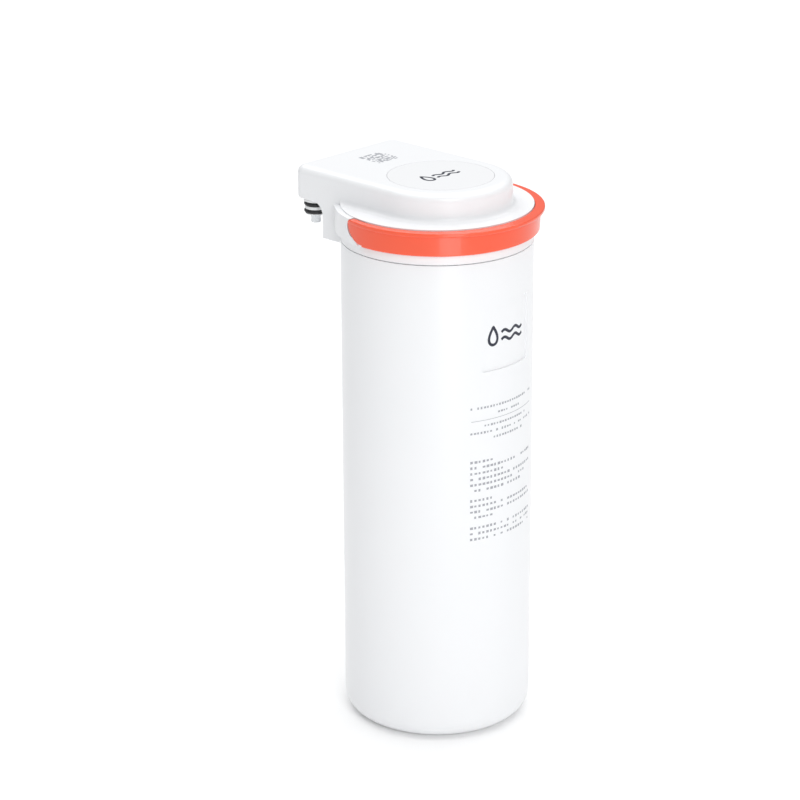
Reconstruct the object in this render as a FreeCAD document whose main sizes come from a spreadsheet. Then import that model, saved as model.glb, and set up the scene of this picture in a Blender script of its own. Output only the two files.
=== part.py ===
"""Plug-in water filter cartridge: canister, cantilever head with two nozzles, lift handle.

Millimetres. The origin is the centre of the canister's base, +Z is up, the label faces -Y
and the head's arm points along +Y. Head pieces are drawn with z = 0 at the seam between the
canister and the head, and their Placement lifts them by the canister's height.
"""
import FreeCAD, Part
import math
import os
import re

import Sketcher
from FreeCAD import Placement, Rotation, Vector

DIMENSIONS = {
    # canister
    "canister_r": 50.0, "canister_high": 265.0, "canister_wall": 2.7, "canister_floor": 3.0,
    "base_round": 10.0, "seam_gap": 0.25, "seam_deep": 1.6,
    "panel_low": -59.0, "panel_high": -23.5, "panel_arc": 40.6, "panel_deep": 0.8,
    "panel_round": 2.5,
    # head outline, seen from above
    "tongue_half": 37.0, "tongue_centre": -2.5, "arm_end": 68.0, "arm_corner": 6.0,
    # head levels above the seam
    "split_level": 18.05, "arm_under": 15.5, "head_top": 33.3, "head_wall": 2.5,
    "brim_wide": 80.0, "brim_margin": 5.0, "brim_thick": 0.6, "foot_round": 3.0, "top_round": 4.2,
    "under_round": 1.6,
    # collar and neck
    "collar_r": 50.0, "collar_wall": 3.0, "flank_r": 53.0, "skirt_deep": 4.5,
    "neck_back": 47.5, "neck_fillet": 6.0, "neck_front": 22.0, "neck_low": -2.2,
    "tail_gap": 0.3, "skirt_inner": 44.6, "skirt_outer": 47.25, "skirt_slope": 1.5,
    # the flanks' front edge, seen from the side
    "flank_foot_y": 6.3, "flank_far": 60.0, "flank_top_y": 12.6, "flank_turn_y": 10.1,
    "flank_turn_z": 8.94, "flank_heel_y": 6.9, "flank_heel_z": 7.03,
    # holes in the arm's floor
    "port_play": 0.1, "duct_play": 0.9, "hole_long": 8.0, "hole_start": 2.0,
    # badge
    "badge_r": 27.5, "badge_thick": 1.2, "badge_gap": 0.2,
    # lift handle
    "grip_inner": 50.4, "grip_top_r": 53.4, "grip_low_r": 53.0, "grip_low": 5.5,
    "grip_high": 18.06, "lip_low": 15.9, "lip_r": 54.1, "lip_shift": 1.8,
    "lip_round": 0.8, "lip_edge": 0.5, "grip_edge": 0.7,
    "end_arc": 11.3, "end_centre_y": 2.6, "end_centre_z": 17.8, "end_round": 2.5,
    "end_back": 13.6, "grip_flat": 49.5, "end_gap": 0.3,
    # handle pivot
    "pivot_y": 9.5, "pivot_z": 14.0, "pivot_r": 2.3, "pivot_play": 0.05, "pivot_tip": 45.0,
    "seat_floor": 49.1, "seat_r": 7.9, "seat_long": 8.0, "sweep_r": 5.1,
    "tip_play": 0.5, "bore_long": 12.0,
    # nozzles
    "port_x": 28.8, "port_y": 59.7, "port_land": 6.4, "port_body": 5.6, "port_groove": 4.15,
    "land_low": 14.0, "land_high": 15.0, "port_root": 6.2,
    "ring_major": 5.2, "ring_minor": 1.03, "ring_high": 12.5, "ring_low": 8.7,
    "groove_half": 1.15, "port_end": 6.9, "port_bore": 3.5, "port_mouth": 2.9,
    "port_head": 28.8, "port_flange": 7.6, "port_flat": 5.5, "port_clip": 2.4,
    "port_tube": 1.6, "flange_thick": 1.8,
    # check valves
    "pin_r": 2.6, "pin_tip": 2.1, "valve_r": 3.2, "seal_minor": 0.4, "spring_r": 2.6,
    "wire_r": 0.3, "valve_seat": 1.95, "valve_top": 10.65, "seat_thick": 1.5,
    "seat_hole": 1.1,
    # water ducts
    "duct_r": 4.2, "duct_bore": 3.0, "duct_level": 24.6, "duct_bend": 9.0,
    "inlet_y": 12.0, "duct_low": -3.0, "duct_start": 1.7, "outlet_bend_y": 20.0,
    # pressure lid
    "lid_top": -5.0, "lid_thick": 4.0, "lid_r": 46.9, "lid_wall": 3.0, "lid_depth": 14.0,
    "socket_r": 10.0, "socket_low": -17.0, "boss_r": 7.0, "boss_high": 3.0,
    "socket_wall": 2.5, "lid_groove_low": 7.2, "lid_groove_high": 4.8,
    "lid_groove_deep": 1.8, "lid_ring_in": 0.7, "lid_ring_minor": 1.1,
    # filter element
    "element_r": 42.2, "element_low": -246.0, "element_high": -24.0, "gasket_thick": 2.0,
    "cap_thick": 4.0, "block_r": 30.0, "core_r": 10.6, "core_bore": 8.6,
    "pleat_inner": 31.0, "pleat_outer": 39.6, "cage_r": 40.9, "stub_r": 9.0, "stub_bore": 5.0,
    "cap_rim": 1.3, "layer_gap": 0.4, "stub_groove": 1.4, "stub_ring_in": 0.2,
    "stub_ring_minor": 1.2,
    # element cradle
    "cradle_inner": 30.0, "cradle_outer": 36.0, "rib_inner": 10.0, "rib_outer": 34.0,
    "rib_half": 1.5, "hub_r": 11.0,
}
PLEATS = 40
PLEAT_THICK = 1.1

doc = FreeCAD.newDocument("water_filter")
sheet = doc.addObject("Spreadsheet::Sheet", "dims")
for row, (alias, number) in enumerate(DIMENSIONS.items(), start=1):
    sheet.set(f"A{row}", alias)
    sheet.set(f"B{row}", str(number))
    sheet.setAlias(f"B{row}", alias)
doc.recompute()


# ---- helpers ---------------------------------------------------------------------------

def bound(text):
    """The expression text with every alias read from the sheet."""
    return re.sub(r"[a-z][a-z_]*", lambda word: swap(word.group()), str(text))


def swap(word):
    return "dims." + word if word in DIMENSIONS else word


def value(text):
    """The number that an expression over the sheet gives."""
    return float(sheet.evalExpression(bound(text)))


def bind(thing, field, text):
    thing.setExpression(field, bound(text))


def new_body(label, level="0"):
    """An empty body whose origin is lifted to a level."""
    body = doc.addObject("PartDesign::Body", label)
    body.Label = label
    body.Placement = Placement(Vector(0, 0, value(level)), Rotation())
    bind(body, ".Placement.Base.z", level)
    return body


def place(thing, label, x="0", y="0", z="0"):
    """Give a finished Part object its label and its bound place."""
    thing.Label = label
    bind(thing, ".Placement.Base.x", x)
    bind(thing, ".Placement.Base.y", y)
    bind(thing, ".Placement.Base.z", z)
    return thing


def sketch_on(body, role, name, offset="0"):
    """A sketch on one of the body's origin planes, moved off it by a bound distance."""
    sketch = body.newObject("Sketcher::SketchObject", name)
    plane = next(item for item in body.Origin.OriginFeatures if item.Role == role)
    sketch.AttachmentSupport = [(plane, "")]
    sketch.MapMode = "FlatFace"
    sketch.AttachmentOffset = Placement(Vector(0, 0, value(offset)), Rotation())
    bind(sketch, ".AttachmentOffset.Base.z", offset)
    return sketch


def edge_between(start, end, radius):
    """A line, or an arc that turns left for a positive radius and right for a negative one.

    The sketcher keeps every arc anticlockwise, so the answer also says which end of the
    edge, 1 or 2, is its start here.
    """
    if not radius:
        return Part.LineSegment(start, end), 1, 2
    chord = end - start
    side = math.copysign(1, radius)
    height = math.sqrt(max(radius ** 2 - (chord.Length / 2) ** 2, 0.0))
    normal = Vector(-chord.y, chord.x, 0).normalize() * side
    centre = (start + end) * 0.5 + normal * height
    first, last = (start, end) if side > 0 else (end, start)
    angles = [math.atan2(p.y - centre.y, p.x - centre.x) for p in (first, last)]
    circle = Part.Circle(centre, Vector(0, 0, 1), abs(radius))
    return Part.ArcOfCircle(circle, *angles), *((1, 2) if side > 0 else (2, 1))


def draw(sketch, corners):
    """A closed outline of corners (x, y), or (x, y, radius) where an arc leads on from it."""
    points = [Vector(value(c[0]), value(c[1]), 0) for c in corners]
    radii = [c[2] if len(c) == 3 else None for c in corners]
    ends = []
    for i, start in enumerate(points):
        radius = value(radii[i]) if radii[i] else 0
        edge, first, last = edge_between(start, points[(i + 1) % len(points)], radius)
        ends.append((sketch.addGeometry(edge, False), first, last))
    for i, (index, first, last) in enumerate(ends):
        after = ends[(i + 1) % len(ends)]
        sketch.addConstraint(
            Sketcher.Constraint("Coincident", index, last, after[0], after[1]))
        for kind, text in (("DistanceX", corners[i][0]), ("DistanceY", corners[i][1])):
            fix(sketch, text, kind, -1, 1, index, first)
        if radii[i]:
            fix(sketch, str(radii[i]).lstrip("-"), "Radius", index)
    return sketch


def fix(sketch, text, *what):
    """A dimension of a sketch, bound to the sheet."""
    number = sketch.addConstraint(Sketcher.Constraint(*what, value(text)))
    bind(sketch, f"Constraints[{number}]", text)


def ring(sketch, x, y, radius):
    """A circle with a bound centre and radius."""
    index = sketch.addGeometry(
        Part.Circle(Vector(value(x), value(y), 0), Vector(0, 0, 1), value(radius)), False)
    fix(sketch, x, "DistanceX", -1, 1, index, 3)
    fix(sketch, y, "DistanceY", -1, 1, index, 3)
    fix(sketch, radius, "Radius", index)
    return sketch


def add(body, kind, sketch, length, reverse=False, middle=False):
    """A Pad or a Pocket of a bound length."""
    feature = body.newObject("PartDesign::" + kind, f"{body.Name}_{kind}")
    feature.Profile = sketch
    bind(feature, "Length", length)
    feature.Reversed = reverse
    feature.Midplane = middle
    return feature


def turn(body, kind, sketch, angle=360, middle=False):
    """A Revolution or a Groove of a half section about the sketch's upright axis."""
    feature = body.newObject("PartDesign::" + kind, f"{body.Name}_{kind}")
    feature.Profile = sketch
    feature.ReferenceAxis = (sketch, ["V_Axis"])
    feature.Angle = angle
    feature.Midplane = middle
    return feature


def half_section(body, corners, name="Section"):
    """A sketch of a turned piece's half section: x is the radius and y the height."""
    return draw(sketch_on(body, "XZ_Plane", body.Name + name), corners)


def round_off(body, base, wanted, radius):
    """Round the edges of the base feature that pass the test."""
    doc.recompute()
    names = [f"Edge{i}" for i, edge in enumerate(base.Shape.Edges, start=1) if wanted(edge)]
    feature = body.newObject("PartDesign::Fillet", body.Name + "_Round")
    feature.Base = (base, names)
    bind(feature, "Radius", radius)
    return feature


def turned(label, corners, level="0"):
    """A whole piece made by turning one half section."""
    body = new_body(label, level)
    turn(body, "Revolution", half_section(body, corners))
    return body


def rectangle(x_low, x_high, y_low, y_high):
    return [(x_low, y_low), (x_high, y_low), (x_high, y_high), (x_low, y_high)]


def o_ring(label, major, minor, x, y, z):
    """A seal ring lying flat."""
    torus = doc.addObject("Part::Torus", label)
    bind(torus, "Radius1", major)
    bind(torus, "Radius2", minor)
    return place(torus, label, x, y, z)


def cylinder(label, radius, height, x="0", y="0", z="0"):
    piece = doc.addObject("Part::Cylinder", label)
    bind(piece, "Radius", radius)
    bind(piece, "Height", height)
    return place(piece, label, x, y, z)


def flat_at(edge, z):
    """True where the whole edge lies at one height."""
    box = edge.BoundBox
    return abs(box.ZMin - z) < 0.01 and abs(box.ZMax - z) < 0.01


# ---- canister --------------------------------------------------------------------------

def make_canister():
    """A straight cup with a rounded base and a shallow square panel for the label."""
    body = new_body("canister")
    inner_round = "(base_round - canister_wall)"
    turn(body, "Revolution", half_section(body, [
        ("0", "0"), ("canister_r - base_round", "0", "base_round"),
        ("canister_r", "base_round"), ("canister_r", "canister_high - seam_gap"),
        ("canister_r - canister_wall", "canister_high - seam_gap"),
        ("canister_r - canister_wall", "canister_floor + " + inner_round, "-" + inner_round),
        ("canister_r - base_round", "canister_floor"), ("0", "canister_floor"),
    ]))
    panel = sketch_on(body, "YZ_Plane", "panel")
    draw(panel, rectangle("-canister_r - 1", "-canister_r + panel_deep",
                          "canister_high + panel_low", "canister_high + panel_high"))
    recess = turn(body, "Groove", panel, value("panel_arc"), middle=True)
    bind(recess, "Angle", "panel_arc")

    def corner(edge):
        box = edge.BoundBox
        radii = [math.hypot(v.X, v.Y) for v in edge.Vertexes]
        inside = value("canister_high + panel_low") - 1 < box.ZMin
        return (inside and box.ZMax < value("canister_high + panel_high") + 1
                and box.ZLength < 0.01 and len(radii) == 2
                and abs(radii[0] - radii[1]) > 0.5)

    round_off(body, recess, corner, "panel_round")


# ---- head ------------------------------------------------------------------------------

def tongue(inset="0"):
    """The head's outline from above: a round nose at -Y, straight flanks, a blunt arm."""
    half = f"(tongue_half - {inset})"
    end = f"(arm_end - {inset})"
    corner = f"(arm_corner - {inset})"
    return [
        ("-" + half, "tongue_centre", half), ("0", "tongue_centre - " + half, half),
        (half, "tongue_centre"),
        (half, f"{end} - {corner}", corner), (f"{half} - {corner}", end),
        (f"{corner} - {half}", end, corner), ("-" + half, f"{end} - {corner}"),
    ]


def head_plan():
    """The outline of brim and tongue together: the collar's circle and the arm behind it."""
    join = "sqrt(collar_r ^ 2 - tongue_half ^ 2)"
    end = "(arm_end - arm_corner)"
    return [
        ("-tongue_half", join, "collar_r"), ("-collar_r", "0", "collar_r"),
        ("0", "-collar_r", "collar_r"), ("collar_r", "0", "collar_r"),
        ("tongue_half", join), ("tongue_half", end, "arm_corner"),
        ("tongue_half - arm_corner", "arm_end"),
        ("arm_corner - tongue_half", "arm_end", "arm_corner"), ("-tongue_half", end),
    ]


def make_cover():
    """The head's top shell: a flat brim with the steep, flat-topped tongue rising from it.

    The foot is rounded on a brim wider than the head, which is then trimmed to the outline.
    """
    body = new_body("head_cover", "canister_high")
    plate = draw(sketch_on(body, "XY_Plane", "brim_plan", "split_level"),
                 rectangle("-brim_wide", "brim_wide", "-brim_wide", "brim_wide"))
    add(body, "Pad", plate, "brim_thick")
    plan = draw(sketch_on(body, "XY_Plane", "cover_plan", "split_level"), tongue())
    raised = add(body, "Pad", plan, "head_top - split_level")
    brim_top = value("split_level + brim_thick")
    softened = round_off(body, raised, lambda edge: (
        flat_at(edge, brim_top) and edge.BoundBox.XLength < value("brim_wide")
        and edge.BoundBox.YMax < value("brim_wide - brim_margin")
        and abs(edge.BoundBox.XMin) < value("brim_wide - brim_margin")), "foot_round")
    round_off(body, softened, lambda edge: flat_at(edge, value("head_top")), "top_round")
    trim = sketch_on(body, "XY_Plane", "cover_trim", "split_level")
    far = "(brim_wide + brim_margin)"
    draw(trim, rectangle("-" + far, far, "-" + far, far))
    draw(trim, head_plan())
    add(body, "Pocket", trim, "head_top", reverse=True)
    room = draw(sketch_on(body, "XY_Plane", "cover_room", "split_level"),
                tongue("head_wall"))
    add(body, "Pocket", room, "head_top - head_wall - split_level", reverse=True)
    badge = ring(sketch_on(body, "XY_Plane", "cover_badge", "head_top"),
                 "0", "tongue_centre", "badge_r + badge_gap")
    add(body, "Pocket", badge, "badge_thick")


def extrusion(name, sketch_plane, corners, length, middle=True, offset="0"):
    """A loose sketch pushed out to a solid, for the head base's booleans."""
    sketch = doc.addObject("Sketcher::SketchObject", name + "_sketch")
    turned_plane = {
        "side": Rotation(Vector(1, 1, 1), 120),
        "plan": Rotation(),
    }[sketch_plane]
    along = Vector(1, 0, 0) if sketch_plane == "side" else Vector(0, 0, 1)
    sketch.Placement = Placement(along * value(offset), turned_plane)
    bind(sketch, ".Placement.Base." + ("x" if sketch_plane == "side" else "z"), offset)
    draw(sketch, corners)
    solid = doc.addObject("Part::Extrusion", name)
    solid.Base = sketch
    solid.DirMode = "Normal"
    solid.Solid = True
    solid.Symmetric = middle
    bind(solid, "LengthFwd", length)
    return solid


def boolean(kind, name, *shapes):
    """A Part boolean: Cut takes two shapes, the others take any number."""
    result = doc.addObject("Part::" + kind, name)
    if kind == "Cut":
        result.Base, result.Tool = shapes
    else:
        result.Shapes = list(shapes)
    return result


def revolved(name, corners):
    """A loose half section turned about Z."""
    sketch = doc.addObject("Sketcher::SketchObject", name + "_sketch")
    sketch.Placement = Placement(Vector(), Rotation(Vector(1, 0, 0), 90))
    draw(sketch, corners)
    solid = doc.addObject("Part::Revolution", name)
    solid.Source = sketch
    solid.Axis = Vector(0, 0, 1)
    solid.Angle = 360
    solid.Solid = True
    return solid


def make_base():
    """The head's lower shell: collar, thick flanks, neck and the arm's floor.

    The collar is thin where the handle wraps it. Behind the handle's ends it thickens to
    the handle's own radius, and the neck joins it to the arm.
    """
    collar = revolved("collar", [
        ("skirt_inner", "-skirt_deep"),
        ("skirt_outer", "-skirt_deep"),
        ("skirt_outer", "-seam_gap"),
        ("canister_r - seam_deep", "-seam_gap"), ("canister_r - seam_deep", "seam_gap"),
        ("collar_r", "seam_gap"), ("collar_r", "split_level"), ("0", "split_level"),
        ("0", "arm_under"), ("collar_r - collar_wall", "arm_under"),
        ("collar_r - collar_wall", "0"), ("skirt_inner", "-skirt_slope"),
    ])
    seats = [across(f"{side}_seat", "seat_r", "seat_floor", "seat_long", sign)
             for side, sign in (("left", -1), ("right", 1))]
    seated = boolean("Cut", "collar_seated", collar, boolean("MultiFuse", "seats", *seats))
    flank_disc = cylinder("flank_disc", "flank_r", "split_level - grip_low", z="grip_low")
    side = extrusion("flank_side", "side", [
        ("flank_foot_y", "grip_low"), ("flank_far", "grip_low"), ("flank_far", "split_level"),
        ("flank_top_y", "split_level", "-sweep_r"),
        ("flank_turn_y", "flank_turn_z", "-(end_arc + end_gap)"),
        ("flank_heel_y", "flank_heel_z"),
    ], "2 * flank_far")
    flank = boolean("MultiCommon", "flank", flank_disc, side)
    block = extrusion("neck_block", "side", [
        ("neck_front", "neck_low"), ("neck_back", "neck_low"),
        ("neck_back", "arm_under - neck_fillet", "-neck_fillet"),
        ("neck_back + neck_fillet", "arm_under"),
        ("neck_back + neck_fillet", "split_level"), ("neck_front", "split_level"),
    ], "2 * tongue_half")
    neck = boolean("Cut", "neck", block, cylinder(
        "canister_room", "canister_r + tail_gap", "seam_gap - neck_low + 1",
        z="neck_low - 1"))
    floor = extrusion("arm_floor", "plan", tongue(), "split_level - arm_under",
                      middle=False, offset="arm_under")
    outside = boolean("MultiFuse", "base_outside", seated, flank, neck, floor)
    outside.Refine = True
    doc.recompute()

    def under_edge(edge):
        """The arm's lower rim and, in line with it, the neck's back corners."""
        box = edge.BoundBox
        rim = flat_at(edge, value("arm_under")) and box.YMax > value("neck_back + 1")
        inside = box.XMax - box.XMin > value("2 * tongue_half") - 1
        back = (abs(abs(box.XMin) - value("tongue_half")) < 0.01 and box.XLength < 0.01
                and box.YMin > value("neck_back") - 0.1 and box.ZMax < value("split_level"))
        return (rim and not inside) or back

    rounded = doc.addObject("Part::Fillet", "base_rounded")
    rounded.Base = outside
    rounded.Edges = [(i, value("under_round"), value("under_round"))
                     for i, edge in enumerate(outside.Shape.Edges, start=1)
                     if under_edge(edge)]
    cuts = base_cuts()
    place(boolean("Cut", "head_base", rounded, cuts), "head_base", z="canister_high")


def base_cuts():
    """Everything taken out of the lower shell."""
    wall = "head_wall"
    cuts = [
        revolved("collar_room", [
            ("0", "-skirt_deep - 1"), ("skirt_inner", "-skirt_deep - 1"),
            ("skirt_inner", "-skirt_slope"), ("collar_r - collar_wall", "0"),
            ("collar_r - collar_wall", "arm_under"), ("0", "arm_under"),
        ]),
        extrusion("neck_room", "side", [
            ("neck_front", f"seam_gap + {wall}"), (f"neck_back - {wall}", f"seam_gap + {wall}"),
            (f"neck_back - {wall}", "split_level + 1"), ("neck_front", "split_level + 1"),
        ], f"2 * (tongue_half - {wall})"),
    ]
    for side, sign in (("left", -1), ("right", 1)):
        cuts.append(across(f"{side}_bore", "pivot_r + pivot_play", "pivot_tip - tip_play", "bore_long",
                           sign))
        cuts.append(across(f"{side}_sweep", "sweep_r", "seat_floor", "seat_long", sign))
        cuts.append(cylinder(f"{side}_port_hole", "port_land + port_play", "hole_long",
                             f"{sign} * port_x", "port_y", "arm_under - hole_start"))
    cuts.append(cylinder("inlet_hole", "duct_r + duct_play", "hole_long", "-port_x", "inlet_y",
                         "arm_under - hole_start"))
    cuts.append(cylinder("outlet_hole", "duct_r + duct_play", "hole_long", z="arm_under - hole_start"))
    return boolean("MultiFuse", "base_cuts", *cuts)


def across(name, radius, start, reach, sign):
    """A cylinder on the handle's pivot axis, running outward on one side."""
    piece = doc.addObject("Part::Cylinder", name)
    bind(piece, "Radius", radius)
    bind(piece, "Height", reach)
    piece.Placement = Placement(Vector(), Rotation(Vector(0, 1, 0), 90 * sign))
    return place(piece, name, f"{sign} * ({start})", "pivot_y", "pivot_z")


def make_badge():
    """The round inlay in the head's top face."""
    cylinder("badge_disc", "badge_r", "badge_thick", "0", "tongue_centre",
             "canister_high + head_top - badge_thick")


# ---- lift handle -----------------------------------------------------------------------

def make_handle():
    """A C-shaped band with a finger lip, rounded ends and two inward trunnions.

    The lip's circle is centred forward of the band's, so the lip fades out at the ends.
    """
    wall = revolved("grip_wall", [
        ("grip_inner", "grip_low"), ("grip_low_r - grip_edge", "grip_low", "grip_edge"),
        ("grip_low_r", "grip_low + grip_edge"), ("grip_top_r", "lip_low"),
        ("grip_top_r", "grip_high - lip_edge", "lip_edge"),
        ("grip_top_r - lip_edge", "grip_high"), ("grip_inner", "grip_high"),
    ])
    lip = revolved("grip_lip", [
        ("0", "lip_low"), ("lip_r - lip_round", "lip_low", "lip_round"),
        ("lip_r", "lip_low + lip_round"), ("lip_r", "grip_high - lip_edge", "lip_edge"),
        ("lip_r - lip_edge", "grip_high"), ("0", "grip_high"),
    ])
    place(lip, "grip_lip", y="-lip_shift")
    hollow = cylinder("grip_hollow", "grip_inner", "30", z="grip_low - 1")
    ends = extrusion("grip_ends", "side", [
        ("end_centre_y", "end_centre_z - end_arc", "end_arc"),
        ("end_back", "grip_high - end_round - 0.3"),
        ("end_back", "grip_high - end_round", "end_round"),
        ("end_back - end_round", "grip_high"), ("end_back - end_round", "grip_high + 5"),
        ("70", "grip_high + 5"), ("70", "grip_low - 5"), ("end_centre_y", "grip_low - 5"),
    ], "160")
    flats = extrusion("grip_flats", "plan",
                      rectangle("-grip_flat", "grip_flat", "0", "40"), "40",
                      middle=False, offset="grip_low - 1")
    band = boolean("Cut", "grip_band", boolean("MultiFuse", "grip_outside", wall, lip),
                   boolean("MultiFuse", "grip_cuts", hollow, ends, flats))
    pins = [across(f"{side}_trunnion", "pivot_r", "pivot_tip",
                   "grip_inner - pivot_tip - 0.1", sign)
            for side, sign in (("left", -1), ("right", 1))]
    place(boolean("MultiFuse", "lift_handle", band, *pins), "lift_handle",
          z="canister_high")


# ---- nozzles and their check valves ----------------------------------------------------

def groove(level):
    """The corners of one seal groove, from above down."""
    return [("port_body", f"{level} + groove_half"), ("port_groove", f"{level} + groove_half"),
            ("port_groove", f"{level} - groove_half"), ("port_body", f"{level} - groove_half")]


def make_nozzle(side, sign):
    """One nozzle: flange in the arm, shank, two sealed grooves and a lipped mouth."""
    x, y = f"{sign} * port_x", "port_y"
    body = turned(f"{side}_nozzle", [
        ("port_mouth", "port_end"), ("port_body - 0.4", "port_end", "0.4"),
        ("port_body", "port_end + 0.4"), *reversed(groove("ring_low")),
        *reversed(groove("ring_high")), ("port_body", "land_low"),
        ("port_land", "land_low"), ("port_land", "land_high"),
        ("port_root", "land_high"), ("port_root", "split_level"),
        ("port_flange", "split_level"), ("port_flange", "split_level + flange_thick"),
        ("port_bore + port_tube", "split_level + flange_thick"), ("port_bore + port_tube", "port_head"),
        ("port_bore", "port_head"), ("port_bore", "port_end + 1.4"),
        ("port_mouth", "port_end + 0.8"),
    ], "canister_high")
    bind(body, ".Placement.Base.x", x)
    bind(body, ".Placement.Base.y", y)
    inlet = ring(sketch_on(body, "XZ_Plane", side + "_inlet", "0"), "0", "duct_level",
                 "duct_bore")
    add(body, "Pocket", inlet, "12", reverse=True)
    edge = f"{sign} * port_flat"
    trim = draw(sketch_on(body, "XY_Plane", side + "_flange_trim", "split_level"), [
        (edge, "-20"), (f"{sign} * 20", "-20"), (f"{sign} * 20", "20"),
        (f"{sign} * -20", "20"), (f"{sign} * -20", "port_flat"),
        (f"{sign} * (port_flat - port_clip)", "port_flat"), (edge, "port_flat - port_clip"),
    ])
    add(body, "Pocket", trim, "4", reverse=True)
    for name, level in (("upper", "ring_high"), ("lower", "ring_low")):
        o_ring(f"{side}_{name}_oring", "ring_major", "ring_minor", x, y,
               "canister_high + " + level)
    make_valve(side, x, y)


def make_valve(side, x, y):
    """The plunger that the socket's post pushes up, its seal, spring and spring seat."""
    plunger = turned(f"{side}_plunger", [
        ("0", "pin_tip"), ("pin_r - 0.5", "pin_tip", "0.5"), ("pin_r", "pin_tip + 0.5"),
        ("pin_r", "port_end + valve_seat"), ("valve_r", "port_end + valve_seat"),
        ("valve_r", "valve_top"), ("spring_r - 0.6", "valve_top"),
        ("spring_r - 0.6", "valve_top + 2"), ("0", "valve_top + 2"),
    ], "canister_high")
    o_ring(f"{side}_valve_seal", "pin_r + seal_minor", "seal_minor", x, y,
           "canister_high + port_end + valve_seat - seal_minor")
    seat = turned(f"{side}_spring_seat", [
        ("seat_hole", "port_head - 2 * seat_thick"), ("spring_r - 0.6", "port_head - 2 * seat_thick"),
        ("spring_r - 0.6", "port_head - seat_thick"), ("port_bore", "port_head - seat_thick"),
        ("port_bore", "port_head"), ("seat_hole", "port_head"),
    ], "canister_high")
    for piece in (plunger, seat):
        bind(piece, ".Placement.Base.x", x)
        bind(piece, ".Placement.Base.y", y)
    make_spring(f"{side}_valve_spring", x, y, "canister_high + valve_top + wire_r",
                "canister_high + port_head - seat_thick - wire_r")


def make_spring(label, x, y, low, high):
    """An open coil between the plunger's shoulder and its seat."""
    coils = 6
    height = value(high) - value(low)
    helix = Part.makeLongHelix(height / coils, height, value("spring_r"))
    start = Vector(value("spring_r"), 0, 0)
    wire = Part.Wire([Part.makeCircle(value("wire_r"), start, Vector(0, 1, 0))])
    spring = doc.addObject("Part::Feature", label)
    spring.Shape = Part.Wire(helix).makePipeShell([wire], True, True)
    place(spring, label, x, y, low)


# ---- water ducts -----------------------------------------------------------------------

def make_duct(label, route, radius_out, radius_in):
    """A tube along straight runs joined by bends."""
    body = doc.addObject("Part::Feature", label)
    path = bent_path(route, value("duct_bend"))
    tubes = []
    for radius in (radius_out, radius_in):
        start = route[0]
        direction = (route[1] - route[0]).normalize()
        section = Part.Wire([Part.makeCircle(value(radius), start, direction)])
        tubes.append(path.makePipeShell([section], True, False))
    body.Shape = tubes[0].cut(tubes[1])
    place(body, label, z="canister_high")


def bent_path(points, bend):
    """Straight runs with an arc of one radius at each corner."""
    edges, start = [], points[0]
    for before, corner, after in zip(points, points[1:], points[2:]):
        back = (before - corner).normalize()
        ahead = (after - corner).normalize()
        half = back.getAngle(ahead) / 2
        reach = bend / math.tan(half)
        bisector = (back + ahead).normalize()
        middle = corner + bisector * (bend / math.sin(half) - bend)
        first, last = corner + back * reach, corner + ahead * reach
        edges.append(Part.LineSegment(start, first).toShape())
        edges.append(Part.Arc(first, middle, last).toShape())
        start = last
    edges.append(Part.LineSegment(start, points[-1]).toShape())
    return Part.Wire(edges)


def make_ducts():
    """The inlet duct drops into the lid's outer port, the outlet duct into its middle."""
    x, level, low = value("port_x"), value("duct_level"), value("duct_low")
    back = value("port_y - port_bore - duct_start")
    make_duct("inlet_duct", [Vector(-x, back, level), Vector(-x, value("inlet_y"), level),
                             Vector(-x, value("inlet_y"), low)], "duct_r", "duct_bore")
    make_duct("outlet_duct", [Vector(x, back, level), Vector(x, value("outlet_bend_y"), level),
                              Vector(0, 0, level), Vector(0, 0, low)],
              "duct_r", "duct_bore")


# ---- pressure lid and filter element ---------------------------------------------------

def make_lid():
    """The disc that closes the canister, with a socket below and two ports above."""
    body = turned("pressure_lid", [
        ("duct_bore", "boss_high"), ("duct_bore", "lid_top - 1"), ("socket_r", "lid_top - 1"),
        ("socket_r", "socket_low"), ("socket_r + socket_wall", "socket_low"),
        ("socket_r + socket_wall", "lid_top - lid_thick"),
        ("lid_r - lid_wall", "lid_top - lid_thick"),
        ("lid_r - lid_wall", "lid_top - lid_depth"), ("lid_r", "lid_top - lid_depth"),
        ("lid_r", "lid_top - lid_groove_low"),
        ("lid_r - lid_groove_deep", "lid_top - lid_groove_low"),
        ("lid_r - lid_groove_deep", "lid_top - lid_groove_high"),
        ("lid_r", "lid_top - lid_groove_high"), ("lid_r", "lid_top"),
        ("boss_r", "lid_top"), ("boss_r", "boss_high"),
    ], "canister_high")
    boss = ring(sketch_on(body, "XY_Plane", "inlet_boss", "lid_top - 1"),
                "-port_x", "inlet_y", "boss_r")
    add(body, "Pad", boss, "boss_high - lid_top + 1")
    for x, y, name in (("-port_x", "inlet_y", "inlet"), ("0", "0", "outlet")):
        seat = ring(sketch_on(body, "XY_Plane", name + "_port", "boss_high"), x, y,
                    "duct_r + pivot_play")
        add(body, "Pocket", seat, "boss_high - duct_low")
    way = ring(sketch_on(body, "XY_Plane", "inlet_way", "boss_high"), "-port_x", "inlet_y",
               "duct_bore")
    add(body, "Pocket", way, "30")
    o_ring("lid_oring", "lid_r - lid_ring_in", "lid_ring_minor", "0", "0",
           "canister_high + lid_top - (lid_groove_low + lid_groove_high) / 2")


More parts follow.
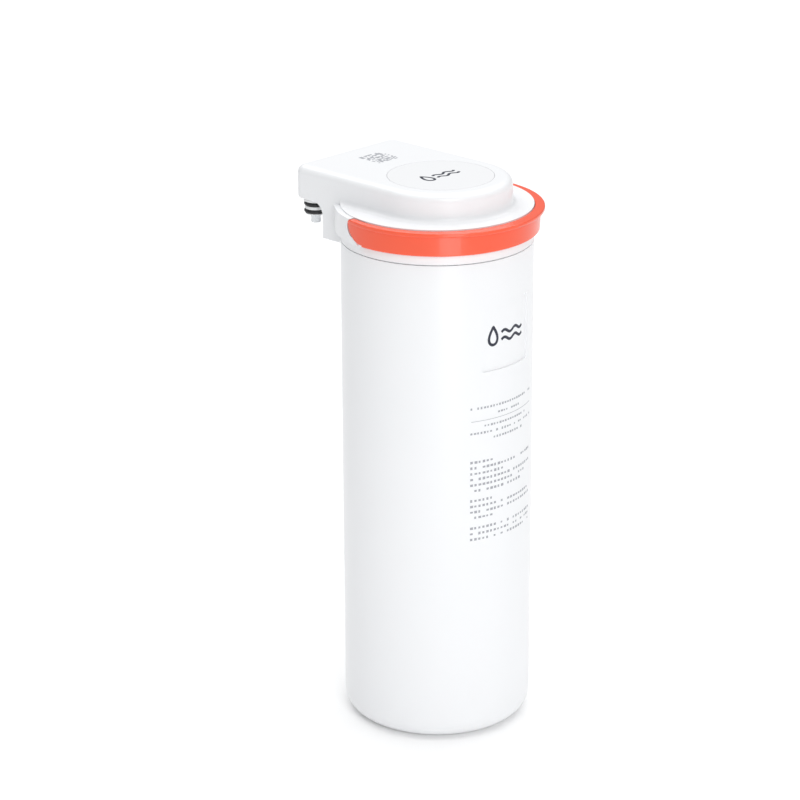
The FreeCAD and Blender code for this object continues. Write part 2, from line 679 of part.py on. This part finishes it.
def make_element():
    """The filter element: caps, gaskets, netting, pleated wrap, carbon block and core."""
    length = "element_high - element_low"
    top = "canister_high + element_high"
    low = "canister_high + element_low"
    turned("top_end_cap", [
        ("stub_bore", "gasket_thick"), ("element_r", "gasket_thick"),
        ("element_r", "-cap_thick"), ("element_r + cap_rim", "-cap_thick"),
        ("element_r + cap_rim", "gasket_thick + cap_thick"),
        ("stub_r", "gasket_thick + cap_thick"),
        ("stub_r", "8.2"), ("stub_r - stub_groove", "8.2"), ("stub_r - stub_groove", "10.6"),
        ("stub_r", "10.6"), ("stub_r", "12.6"), ("stub_r - stub_groove", "12.6"),
        ("stub_r - stub_groove", "15"), ("stub_r", "15"), ("stub_r", "17"), ("stub_bore", "17"),
    ], top)
    for name, level in (("lower", "9.4"), ("upper", "13.8")):
        o_ring(f"stub_{name}_oring", "stub_r - stub_ring_in", "stub_ring_minor", "0", "0", f"{top} + {level}")
    turned("bottom_end_cap", [
        ("0", "-gasket_thick - cap_thick"), ("element_r + cap_rim", "-gasket_thick - cap_thick"),
        ("element_r + cap_rim", "cap_thick"), ("element_r", "cap_thick"),
        ("element_r", "-gasket_thick"), ("0", "-gasket_thick"),
    ], low)
    for name, level in (("upper", f"{top}"), ("lower", f"{low} - gasket_thick")):
        turned(f"{name}_gasket", rectangle("core_r + layer_gap", "pleat_outer", "0",
                                           "gasket_thick"), level)
    turned("core_tube", rectangle("core_bore", "core_r", "0", length), low)
    turned("carbon_block", rectangle("core_r + layer_gap", "block_r", "0", length), low)
    turned("outer_netting", rectangle("pleat_outer + layer_gap", "cage_r", "0", length), low)
    make_pleats(low, length)
    make_cradle()


def make_pleats(level, length):
    """The pleated wrap: one zigzag sheet of constant thickness closed on itself."""
    inner, outer = value("pleat_inner"), value("pleat_outer")
    corners = []
    for i in range(2 * PLEATS):
        radius = outer if i % 2 else inner + PLEAT_THICK
        corners.append(polar(radius, 180.0 * i / PLEATS))
    hollow = [polar(outer - PLEAT_THICK if i % 2 else inner, 180.0 * i / PLEATS)
              for i in range(2 * PLEATS)]
    faces = [Part.Face(Part.makePolygon(ring_of + ring_of[:1]))
             for ring_of in (corners, hollow)]
    wrap = doc.addObject("Part::Feature", "pleated_wrap")
    wrap.Shape = faces[0].cut(faces[1]).extrude(Vector(0, 0, value(length)))
    place(wrap, "pleated_wrap", z=level)


def polar(radius, degrees):
    angle = math.radians(degrees)
    return Vector(radius * math.cos(angle), radius * math.sin(angle), 0)


def make_cradle():
    """The ribbed ring that carries the element above the canister's floor."""
    high = ("canister_high + element_low - gasket_thick - cap_thick"
            " - canister_floor")
    body = turned("element_cradle", rectangle("cradle_inner", "cradle_outer", "0", high),
                  "canister_floor")
    rib = draw(sketch_on(body, "XY_Plane", "cradle_rib"),
               rectangle("rib_inner", "rib_outer", "-rib_half", "rib_half"))
    pad = add(body, "Pad", rib, high)
    pattern = body.newObject("PartDesign::PolarPattern", "cradle_ribs")
    pattern.Originals = [pad]
    axis = next(item for item in body.Origin.OriginFeatures if item.Role == "Z_Axis")
    pattern.Axis = (axis, [""])
    pattern.Angle = 360
    pattern.Occurrences = 6
    body.Tip = pattern
    hub = ring(sketch_on(body, "XY_Plane", "cradle_hub"), "0", "0", "hub_r")
    add(body, "Pad", hub, high)


NODES = ["canister", "head_base", "head_cover", "badge_disc", "lift_handle", "inlet_duct",
         "outlet_duct", "pressure_lid", "lid_oring", "top_end_cap", "bottom_end_cap",
         "upper_gasket", "lower_gasket", "core_tube", "carbon_block", "pleated_wrap",
         "outer_netting", "stub_lower_oring", "stub_upper_oring", "element_cradle"]
NODES += [f"{side}_{piece}" for side in ("inlet", "outlet") for piece in (
    "nozzle", "upper_oring", "lower_oring", "plunger", "valve_seal", "valve_spring",
    "spring_seat")]


def check():
    """Stop before anything is written if an object or a node's shape is bad."""
    broken = [thing.Name for thing in doc.Objects
              if "Invalid" in thing.State or "Error" in thing.State]
    if broken:
        raise SystemExit("not recomputed: " + ", ".join(broken))
    for label in NODES:
        shape = doc.getObjectsByLabel(label)[0].Shape
        if shape.isNull() or not shape.isValid() or not shape.Solids:
            raise SystemExit(f"{label} has no sound shape")


def main():
    make_canister()
    make_cover()
    make_base()
    make_badge()
    make_handle()
    for side, sign in (("inlet", "-1"), ("outlet", "1")):
        make_nozzle(side, sign)
    make_ducts()
    make_lid()
    make_element()
    doc.recompute()
    check()
    os.makedirs("parts", exist_ok=True)
    for label in NODES:
        shape = doc.getObjectsByLabel(label)[0].Shape
        shape.exportStep(f"parts/{label}.step")
        print(f"{label:20s} solids {len(shape.Solids)} volume {shape.Volume:12.1f}")


main()
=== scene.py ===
"""Looks for the plug-in water filter cartridge: plastics, rubber, print marks, light, camera.

Metres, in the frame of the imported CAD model: the origin is the centre of the canister's base,
+Z is up, the label faces -Y and the head's arm points along +Y.
"""
import math
import random

import bmesh
import bpy
from mathutils import Matrix, Vector


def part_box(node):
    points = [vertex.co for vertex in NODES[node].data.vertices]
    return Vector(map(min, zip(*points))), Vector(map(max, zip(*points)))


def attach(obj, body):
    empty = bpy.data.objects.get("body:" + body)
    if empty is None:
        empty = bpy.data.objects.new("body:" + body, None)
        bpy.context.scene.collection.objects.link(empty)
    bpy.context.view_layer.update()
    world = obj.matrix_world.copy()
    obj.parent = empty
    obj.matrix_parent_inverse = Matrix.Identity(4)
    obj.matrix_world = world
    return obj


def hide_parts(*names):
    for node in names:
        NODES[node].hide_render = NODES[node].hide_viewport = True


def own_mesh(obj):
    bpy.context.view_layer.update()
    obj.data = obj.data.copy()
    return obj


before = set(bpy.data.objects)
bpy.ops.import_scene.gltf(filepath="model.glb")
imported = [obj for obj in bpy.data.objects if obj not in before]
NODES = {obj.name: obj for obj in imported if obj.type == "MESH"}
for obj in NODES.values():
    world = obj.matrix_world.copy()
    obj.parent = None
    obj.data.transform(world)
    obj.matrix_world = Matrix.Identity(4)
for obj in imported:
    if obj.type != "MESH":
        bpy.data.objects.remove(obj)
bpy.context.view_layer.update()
MM = 0.001

CANISTER_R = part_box("canister")[1].x
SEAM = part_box("canister")[1].z
PRINT_THICK = 0.03 * MM
PANEL_R = CANISTER_R - 0.8 * MM
PANEL_MIDDLE = SEAM - 41.2 * MM
VIEW_HEADING = math.radians(-46.8)


# ---- node helpers ----------------------------------------------------------------------

def new_material(name):
    """An empty node material with its Principled shader."""
    material = bpy.data.materials.new(name)
    material.use_nodes = True
    shader = material.node_tree.nodes["Principled BSDF"]
    return material, material.node_tree, shader


def object_noise(tree, scale, detail=2.0):
    """Noise fixed to the object, so it doesn't slide in other views."""
    where = tree.nodes.new("ShaderNodeTexCoord")
    noise = tree.nodes.new("ShaderNodeTexNoise")
    noise.inputs["Scale"].default_value = scale
    noise.inputs["Detail"].default_value = detail
    tree.links.new(where.outputs["Object"], noise.inputs["Vector"])
    return noise


def ramp(tree, source, low, high):
    """A colour ramp between two colours, over the range that noise really covers."""
    node = tree.nodes.new("ShaderNodeValToRGB")
    node.color_ramp.elements[0].position = 0.3
    node.color_ramp.elements[1].position = 0.7
    node.color_ramp.elements[0].color = (*low, 1)
    node.color_ramp.elements[1].color = (*high, 1)
    tree.links.new(source, node.inputs["Fac"])
    return node


def spread(tree, source, low, high):
    """A number that the noise moves between two limits."""
    node = tree.nodes.new("ShaderNodeMapRange")
    node.inputs["To Min"].default_value = low
    node.inputs["To Max"].default_value = high
    tree.links.new(source, node.inputs["Value"])
    return node


def bump(tree, shader, source, distance):
    """Surface relief of a real depth in metres."""
    node = tree.nodes.new("ShaderNodeBump")
    node.inputs["Distance"].default_value = distance
    node.inputs["Strength"].default_value = 1.0
    tree.links.new(source, node.inputs["Height"])
    tree.links.new(node.outputs["Normal"], shader.inputs["Normal"])


# ---- materials -------------------------------------------------------------------------

def moulded_plastic(name, low, high, rough, coat=0.0):
    """Injection-moulded plastic: slight cloudiness, uneven polish and a faint waviness."""
    material, tree, shader = new_material(name)
    cloud = object_noise(tree, 14.0, 3.0)
    tone = ramp(tree, cloud.outputs["Fac"], low, high)
    tree.links.new(tone.outputs["Color"], shader.inputs["Base Color"])
    polish = object_noise(tree, 60.0, 2.0)
    amount = spread(tree, polish.outputs["Fac"], rough * 0.96, rough * 1.04)
    tree.links.new(amount.outputs["Result"], shader.inputs["Roughness"])
    waviness = object_noise(tree, 120.0, 0.0)
    bump(tree, shader, waviness.outputs["Fac"], 0.004 * MM)
    shader.inputs["IOR"].default_value = 1.5
    shader.inputs["Coat Weight"].default_value = coat
    shader.inputs["Coat Roughness"].default_value = 0.08
    return material


def rubber(name, low, high):
    """Black seal rubber with a dull, finely pitted skin."""
    material, tree, shader = new_material(name)
    pits = object_noise(tree, 2500.0, 3.0)
    tone = ramp(tree, pits.outputs["Fac"], low, high)
    tree.links.new(tone.outputs["Color"], shader.inputs["Base Color"])
    amount = spread(tree, pits.outputs["Fac"], 0.34, 0.5)
    tree.links.new(amount.outputs["Result"], shader.inputs["Roughness"])
    bump(tree, shader, pits.outputs["Fac"], 0.01 * MM)
    return material


def ink(name, low, high):
    """Pad-printed ink: matt, with slightly uneven cover."""
    material, tree, shader = new_material(name)
    cover = object_noise(tree, 1800.0, 2.0)
    tone = ramp(tree, cover.outputs["Fac"], low, high)
    tree.links.new(tone.outputs["Color"], shader.inputs["Base Color"])
    amount = spread(tree, cover.outputs["Fac"], 0.45, 0.6)
    tree.links.new(amount.outputs["Result"], shader.inputs["Roughness"])
    return material


def floor_finish():
    """A pale matt studio floor, lit a little from within so that it stays pale far off."""
    material, tree, shader = new_material("studio_floor")
    cloud = object_noise(tree, 1.5, 2.0)
    tone = ramp(tree, cloud.outputs["Fac"], (0.93, 0.93, 0.93), (0.95, 0.95, 0.95))
    tree.links.new(tone.outputs["Color"], shader.inputs["Base Color"])
    shader.inputs["Roughness"].default_value = 0.9
    shader.inputs["Specular IOR Level"].default_value = 0.1
    shader.inputs["Emission Color"].default_value = (1, 1, 1, 1)
    shader.inputs["Emission Strength"].default_value = 0.06
    return material


WHITE = moulded_plastic("white_gloss", (0.87, 0.879, 0.893), (0.878, 0.886, 0.899), 0.3)
BADGE = moulded_plastic("badge_white", (0.875, 0.883, 0.895), (0.883, 0.89, 0.901), 0.2)
ORANGE = moulded_plastic("orange_gloss", (0.9, 0.088, 0.026), (0.93, 0.097, 0.03), 0.3,
                         coat=0.35)
NATURAL = moulded_plastic("natural_plastic", (0.78, 0.79, 0.8), (0.83, 0.84, 0.85), 0.4)
PIN = moulded_plastic("pin_plastic", (0.76, 0.78, 0.8), (0.8, 0.82, 0.84), 0.25)
STEEL = moulded_plastic("spring_steel", (0.5, 0.5, 0.52), (0.58, 0.58, 0.6), 0.3)
BLACK = rubber("black_rubber", (0.008, 0.008, 0.009), (0.02, 0.02, 0.022))
DARK_INK = ink("dark_ink", (0.018, 0.022, 0.04), (0.028, 0.032, 0.052))
GREY_INK = ink("grey_ink", (0.33, 0.34, 0.37), (0.42, 0.43, 0.46))


def dress(material, *names):
    """Give CAD nodes a material."""
    for name in names:
        mesh = NODES[name].data
        mesh.materials.clear()
        mesh.materials.append(material)


# ---- printed marks ---------------------------------------------------------------------

def on_cylinder(radius, level):
    """Wraps flat marks on a canister: x runs round it from the front, y runs up."""
    def wrap(x, y, lift):
        angle = x / radius
        reach = radius + lift
        return Vector((reach * math.sin(angle), -reach * math.cos(angle), level + y))
    return wrap


def on_top(centre, level):
    """Lays flat marks on the head's top face."""
    def lay(x, y, lift):
        return Vector((centre[0] + x, centre[1] + y, level + lift))
    return lay


def stroke(points, width, closed=False):
    """The left and right edges of a pen line along flat points."""
    count = len(points)
    rows = []
    for i, point in enumerate(points):
        before = points[(i - 1) % count] if closed or i else point
        after = points[(i + 1) % count] if closed or i < count - 1 else point
        along = Vector((after[0] - before[0], after[1] - before[1])).normalized()
        side = Vector((-along.y, along.x)) * (width / 2)
        rows.append((Vector(point) + side, Vector(point) - side))
    return rows


def print_strip(mesh, rows, place, closed=False, base=0.0):
    """A thin closed strip of ink between paired edge points."""
    made = []
    for left, right in rows:
        made.append([mesh.verts.new(place(p.x, p.y, base + lift))
                     for p, lift in ((left, 0), (right, 0), (right, PRINT_THICK),
                                     (left, PRINT_THICK))])
    spans = len(made) if closed else len(made) - 1
    for i in range(spans):
        here, there = made[i], made[(i + 1) % len(made)]
        for j in range(4):
            k = (j + 1) % 4
            mesh.faces.new((here[j], here[k], there[k], there[j]))
    if not closed:
        mesh.faces.new(made[0][::-1])
        mesh.faces.new(made[-1])


def print_piece(name, material, draw):
    """One piece of print that rides on the cartridge."""
    mesh = bmesh.new()
    draw(mesh)
    bmesh.ops.recalc_face_normals(mesh, faces=mesh.faces)
    data = bpy.data.meshes.new(name)
    mesh.to_mesh(data)
    mesh.free()
    data.materials.append(material)
    piece = bpy.data.objects.new(name, data)
    bpy.context.scene.collection.objects.link(piece)
    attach(piece, "cartridge")
    return piece


def drop_outline(high, steps=40):
    """A water drop's outline, pointed at the top, centred on its round part."""
    radius = high * 0.31
    points = []
    for i in range(steps):
        angle = 2 * math.pi * i / steps
        x = radius * math.sin(angle) * math.sin(angle / 2) ** 1.1 * 1.18
        y = (radius + high * 0.19) * math.cos(angle) + high * 0.1
        points.append((x, y))
    return points


def wave(length, rise, steps=32):
    """A gentle double wave, one pen line."""
    return [(length * (i / steps - 0.5), rise * math.sin(4 * math.pi * i / steps))
            for i in range(steps + 1)]


def draw_symbol(mesh, place, size, pen):
    """The maker-neutral sign: a drop, with two waves beside it."""
    drop = [(x - size * 1.02, y) for x, y in drop_outline(size)]
    print_strip(mesh, stroke(drop, pen, closed=True), place, closed=True)
    for level in (-0.22, 0.2):
        line = [(x + size * 0.42, y + level * size) for x, y in wave(size * 1.75, size * 0.1)]
        print_strip(mesh, stroke(line, pen), place)


# Millimetres. Each block of print: the level of its first line below the seam, the pitch of its
# lines, and how long each line is, as a part of the full width.
LINE_PITCH = 3.15
MARGIN = 23.5
RULE_LEVEL, RULE_WIDE = 84.6, 0.25
PRINT_CLEAR = 0.005 * MM
SYMBOL_PEN = 1.5 * MM
HEADING = ((77.6, 4.0, (1.0, 0.38)),)
SMALL = ((87.6, 3.6, (0.66, 1.0, 0.5)),)
BODY = ((107.0, LINE_PITCH, (0.3, 1.0, 0.42, 1.0, 0.82, 0.74)),
        (128.3, LINE_PITCH, (0.3, 0.95, 1.0, 0.3)),
        (143.6, LINE_PITCH, (1.0, 0.97, 1.0)))


def draw_blocks(mesh, blocks, seed, pitch, high, centred):
    """Lines of plain dashes where small print would be."""
    dice = random.Random(seed)
    place = on_cylinder(CANISTER_R, SEAM)
    for first, step, reaches in blocks:
        for i, reach in enumerate(reaches):
            level = first + step * i
            span = 2 * MARGIN * reach
            x = -span / 2 if centred else -MARGIN
            end = x + span
            while x < end:
                wide = pitch * dice.uniform(0.42, 0.72)
                tall = high * dice.uniform(0.6, 1.0)
                if dice.random() > 0.1:
                    edge = [((x + wide * j / 2) * MM, -level * MM) for j in range(3)]
                    print_strip(mesh, stroke(edge, tall * MM), place, base=PRINT_CLEAR)
                x += pitch


def draw_rule(mesh):
    """The thin line between the heading and the body of the print."""
    place = on_cylinder(CANISTER_R, SEAM)
    line = [(x * MM, -RULE_LEVEL * MM) for x in range(-23, 24)]
    print_strip(mesh, stroke(line, RULE_WIDE * MM), place)


def draw_matrix(mesh):
    """A plain mosaic square on the arm: seeded random cells that encode nothing."""
    place = on_top((0.0025, 0.044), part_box("head_cover")[1].z)
    dice = random.Random(11)
    cells, side = 13, 15.5
    cell = side / cells
    for i in range(cells):
        for j in range(cells):
            if dice.random() < 0.52:
                x, y = (i + 0.5) * cell - side / 2, (j + 0.5) * cell - side / 2
                line = [((x - cell * 0.46) * MM, y * MM), ((x + cell * 0.46) * MM, y * MM)]
                print_strip(mesh, stroke(line, cell * 0.92 * MM), place)


def make_print():
    """Every printed mark on the canister, the badge and the arm."""
    panel = on_cylinder(PANEL_R, PANEL_MIDDLE)
    print_piece("label_symbol", DARK_INK,
                lambda mesh: draw_symbol(mesh, panel, 9.6 * MM, SYMBOL_PEN))
    low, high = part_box("badge_disc")
    middle = (low + high) / 2
    top = on_top((middle.x, middle.y), high.z)
    print_piece("badge_symbol", DARK_INK,
                lambda mesh: draw_symbol(mesh, top, 9.0 * MM, SYMBOL_PEN))
    print_piece("arm_mosaic", GREY_INK, draw_matrix)
    print_piece("heading_rows", GREY_INK,
                lambda mesh: draw_blocks(mesh, HEADING, 3, 1.9, 1.3, True))
    print_piece("small_rows", GREY_INK,
                lambda mesh: draw_blocks(mesh, SMALL, 4, 1.9, 1.3, True))
    print_piece("body_rows", GREY_INK,
                lambda mesh: draw_blocks(mesh, BODY, 5, 2.35, 1.5, False))
    print_piece("heading_rule", GREY_INK, draw_rule)


# ---- valve springs ---------------------------------------------------------------------

def make_coil(side):
    """The valve spring as a piece of its own, because it shortens as the plunger rises."""
    node = f"{side}_valve_spring"
    coil = bpy.data.objects.new(f"{side}_coil", NODES[node].data.copy())
    bpy.context.scene.collection.objects.link(coil)
    coil.matrix_world = NODES[node].matrix_world.copy()
    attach(coil, "cartridge")
    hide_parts(node)
    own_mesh(coil)


# ---- stage, light and camera -----------------------------------------------------------

def make_floor():
    """A square floor far wider than the view."""
    half = 6.0
    data = bpy.data.meshes.new("floor")
    data.from_pydata([(-half, -half, 0), (half, -half, 0), (half, half, 0), (-half, half, 0)],
                     [], [(0, 1, 2, 3)])
    data.materials.append(floor_finish())
    floor = bpy.data.objects.new("floor", data)
    bpy.context.scene.collection.objects.link(floor)


def area_light(name, where, aim, power, width, height):
    """A soft box that faces a point, hidden from the camera."""
    data = bpy.data.lights.new(name, "AREA")
    data.shape = "RECTANGLE"
    data.size, data.size_y = width, height
    data.energy = power
    lamp = bpy.data.objects.new(name, data)
    lamp.visible_camera = False
    bpy.context.scene.collection.objects.link(lamp)
    lamp.location = where
    lamp.rotation_mode = "QUATERNION"
    lamp.rotation_quaternion = (Vector(aim) - Vector(where)).to_track_quat("-Z", "Y")


def beside(turn, distance, height):
    """A point round the object: degrees to the right of the camera, distance and height."""
    angle = VIEW_HEADING + math.radians(turn)
    return Vector((math.sin(angle) * distance, -math.cos(angle) * distance, height))


def make_light():
    """An even surround, a soft box beside the camera, one overhead and one low and close."""
    world = bpy.data.worlds.new("surround")
    world.use_nodes = True
    ground = world.node_tree.nodes["Background"]
    ground.inputs["Color"].default_value = (0.975, 0.985, 1.0, 1)
    ground.inputs["Strength"].default_value = 0.34
    bpy.context.scene.world = world
    middle = Vector((0, 0, 0.18))
    area_light("key", beside(17, 2.2, 1.35), middle, 19.0, 1.0, 1.0)
    area_light("top", beside(180, 1.0, 2.7), beside(180, 0.7, 0), 100.0, 4.2, 4.2)
    handle = Vector((0, 0, SEAM + 8 * MM))
    area_light("glint", beside(14, 0.62, 0.1), handle, 0.3, 0.25, 0.16)


def make_camera():
    """The view down on the canister's left front, from 1.4 m away along the floor."""
    data = bpy.data.cameras.new("camera")
    data.sensor_width = 36.0
    data.lens = 128.9
    data.clip_start, data.clip_end = 0.05, 50
    camera = bpy.data.objects.new("camera", data)
    bpy.context.scene.collection.objects.link(camera)
    bpy.context.scene.camera = camera
    pitch = math.radians(20.36)
    aside = math.radians(0.744)
    level = (Matrix.Rotation(VIEW_HEADING, 4, "Z") @ Matrix.Rotation(math.pi / 2 - pitch, 4, "X")
             @ Matrix.Rotation(aside, 4, "Y"))
    camera.matrix_world = Matrix.Translation(beside(0, 1.4157, SEAM + 0.4356)) @ level
    bpy.context.scene.view_settings.view_transform = "Standard"


dress(WHITE, "canister", "head_base", "head_cover")
dress(BADGE, "badge_disc")
dress(ORANGE, "lift_handle")
dress(NATURAL, "inlet_nozzle", "outlet_nozzle", "inlet_duct", "outlet_duct", "pressure_lid",
      "top_end_cap", "bottom_end_cap", "element_cradle", "inlet_spring_seat",
      "outlet_spring_seat", "core_tube", "outer_netting", "pleated_wrap")
dress(PIN, "inlet_plunger", "outlet_plunger")
dress(STEEL, "inlet_valve_spring", "outlet_valve_spring")
dress(BLACK, "carbon_block", "lid_oring", "stub_lower_oring", "stub_upper_oring",
      "upper_gasket", "lower_gasket")
for port in ("inlet", "outlet"):
    dress(BLACK, f"{port}_upper_oring", f"{port}_lower_oring", f"{port}_valve_seal")
    make_coil(port)
make_print()
make_floor()
make_light()
make_camera()
